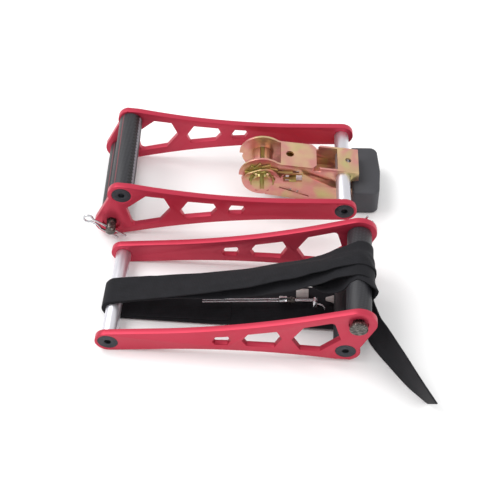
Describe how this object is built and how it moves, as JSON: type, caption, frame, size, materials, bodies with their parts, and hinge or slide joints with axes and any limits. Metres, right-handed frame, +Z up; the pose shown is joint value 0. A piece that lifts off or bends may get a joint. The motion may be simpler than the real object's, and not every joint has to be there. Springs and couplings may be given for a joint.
{
  "type": "ratchet tie down",
  "caption": "Ratchet tie down for drawing two bow limbs together: a red yoke with a small webbing ratchet beside a matching yoke wound with its black webbing.",
  "frame": {"origin": "on the ground, under the middle of the whole set's bounding box", "axes": "+X from the wide end of the ratchet yoke to its narrow end, +Y to the far side, away from the strap yoke, +Z up"},
  "size_m": [0.2773, 0.2734, 0.0616],
  "materials": {
    "red_anodised": "anodised red, satin",
    "satin_aluminium": "plain aluminium, turned, satin",
    "black_oxide": "black oxide on socket screws",
    "black_rubber": "matt moulded and hose rubber",
    "dark_pin_steel": "dark phosphated steel with rubbed edges",
    "bright_wire": "bright zinc on wire and tube",
    "yellow_zinc": "yellow chromated zinc with a rainbow cast",
    "olive_zinc": "olive yellow zinc, duller",
    "black_webbing": "woven polyester webbing",
    "pale_sleeve": "soft grey plastic sleeve"
  },
  "bodies": {
    "ratchet_yoke": {"ratchet_yoke_near_plate": "red_anodised", "ratchet_yoke_far_plate": "red_anodised", "ratchet_yoke_crossbar": "satin_aluminium", "ratchet_yoke_crossbar_screws": "black_oxide", "ratchet_yoke_roller_shaft": "satin_aluminium", "ratchet_yoke_shaft_screws": "black_oxide"},
    "ratchet_yoke_shaft_roller": {"ratchet_yoke_shaft_roller": "black_rubber"},
    "ratchet_yoke_pin": {"ratchet_yoke_pin": "dark_pin_steel"},
    "ratchet_yoke_pin_roller": {"ratchet_yoke_pin_roller": "black_rubber"},
    "ratchet_yoke_pin_clip": {"ratchet_yoke_pin_clip": "bright_wire"},
    "buckle_frame": {"buckle_frame": "yellow_zinc", "buckle_lock_spring": "bright_wire"},
    "buckle_handle": {"buckle_handle": "yellow_zinc", "buckle_handle_tube": "bright_wire", "buckle_grip": "black_rubber", "buckle_pull_spring": "bright_wire"},
    "buckle_spool": {"buckle_spool_halves": "yellow_zinc", "buckle_ratchet_wheels": "olive_zinc", "buckle_lock_washers": "olive_zinc", "buckle_cotter_pins": "yellow_zinc"},
    "buckle_pull_pawl": {"buckle_pull_pawl": "olive_zinc"},
    "buckle_lock_pawl": {"buckle_lock_pawl": "olive_zinc"},
    "strap_yoke": {"strap_yoke_near_plate": "red_anodised", "strap_yoke_far_plate": "red_anodised", "strap_yoke_crossbar": "satin_aluminium", "strap_yoke_crossbar_screws": "black_oxide", "strap_yoke_roller_shaft": "satin_aluminium", "strap_yoke_shaft_screws": "black_oxide", "webbing_winding": "black_webbing", "webbing_tail": "black_webbing", "hook_wires": "bright_wire", "hook_ferrule": "bright_wire", "hook_swivel": "dark_pin_steel", "hook_bar": "bright_wire", "hook_tongue": "bright_wire", "hook_sleeve": "pale_sleeve", "hook_cap": "pale_sleeve"},
    "strap_yoke_shaft_roller": {"strap_yoke_shaft_roller": "black_rubber"},
    "strap_yoke_pin": {"strap_yoke_pin": "dark_pin_steel"},
    "strap_yoke_pin_roller": {"strap_yoke_pin_roller": "black_rubber"},
    "strap_yoke_pin_clip": {"strap_yoke_pin_clip": "bright_wire"}
  },
  "joints": [
    {"name": "ratchet_yoke_shaft_roller_spin", "type": "hinge", "parent": "ratchet_yoke", "child": "ratchet_yoke_shaft_roller", "pos_m": [-0.1057, 0.0897, 0.0465], "axis": [0, 1, 0], "continuous": true},
    {"name": "ratchet_yoke_pin_roller_spin", "type": "hinge", "parent": "ratchet_yoke", "child": "ratchet_yoke_pin_roller", "pos_m": [-0.1172, 0.0897, 0.0135], "axis": [0, 1, 0], "continuous": true},
    {"name": "ratchet_yoke_pin_float", "type": "slide", "parent": "ratchet_yoke", "child": "ratchet_yoke_pin", "axis": [0, 1, 0], "range_m": [0, 0.004]},
    {"name": "ratchet_yoke_clip_pull", "type": "slide", "parent": "ratchet_yoke_pin", "child": "ratchet_yoke_pin_clip", "axis": [-0.7771, 0, 0.6293], "range_m": [0, 0.022]},
    {"name": "buckle_swing", "type": "hinge", "parent": "ratchet_yoke", "child": "buckle_frame", "pos_m": [0.0733, 0.0897, 0.03], "axis": [0, 1, 0], "range_deg": [0, 185]},
    {"name": "buckle_handle_swing", "type": "hinge", "parent": "buckle_frame", "child": "buckle_handle", "pos_m": [0.0063, 0.0947, 0.032], "axis": [0, 1, 0], "range_deg": [0, 150]},
    {"name": "buckle_spool_spin", "type": "hinge", "parent": "buckle_frame", "child": "buckle_spool", "pos_m": [0.0063, 0.0947, 0.032], "axis": [0, 1, 0], "continuous": true},
    {"name": "buckle_pull_pawl_slide", "type": "slide", "parent": "buckle_handle", "child": "buckle_pull_pawl", "axis": [1, 0, 0], "range_m": [-0.00225, 0.00125], "deforming": ["buckle_pull_spring"]},
    {"name": "buckle_lock_pawl_slide", "type": "slide", "parent": "buckle_frame", "child": "buckle_lock_pawl", "axis": [0.9976, 0, -0.0698], "range_m": [0, 0.0035], "stiffness_N_per_m": 400, "springref_m": -0.006, "deforming": ["buckle_lock_spring"]},
    {"name": "strap_yoke_apart", "type": "slide", "parent": "ratchet_yoke", "child": "strap_yoke", "axis": [0, -1, 0], "range_m": [0, 0.25]},
    {"name": "strap_yoke_shaft_roller_spin", "type": "hinge", "parent": "strap_yoke", "child": "strap_yoke_shaft_roller", "pos_m": [0.07334, -0.03525, 0.01324], "axis": [0.0454, 0.999, 0], "continuous": true},
    {"name": "strap_yoke_pin_roller_spin", "type": "hinge", "parent": "strap_yoke", "child": "strap_yoke_pin_roller", "pos_m": [0.08115, -0.03561, 0.0473], "axis": [0.0454, 0.999, 0], "continuous": true},
    {"name": "strap_yoke_pin_float", "type": "slide", "parent": "strap_yoke", "child": "strap_yoke_pin", "axis": [0.0454, 0.999, 0], "range_m": [0, 0.004]},
    {"name": "strap_yoke_clip_pull", "type": "slide", "parent": "strap_yoke_pin", "child": "strap_yoke_pin_clip", "axis": [-0.3694, 0.0168, -0.9291], "range_m": [0, 0.022]}
  ]
}
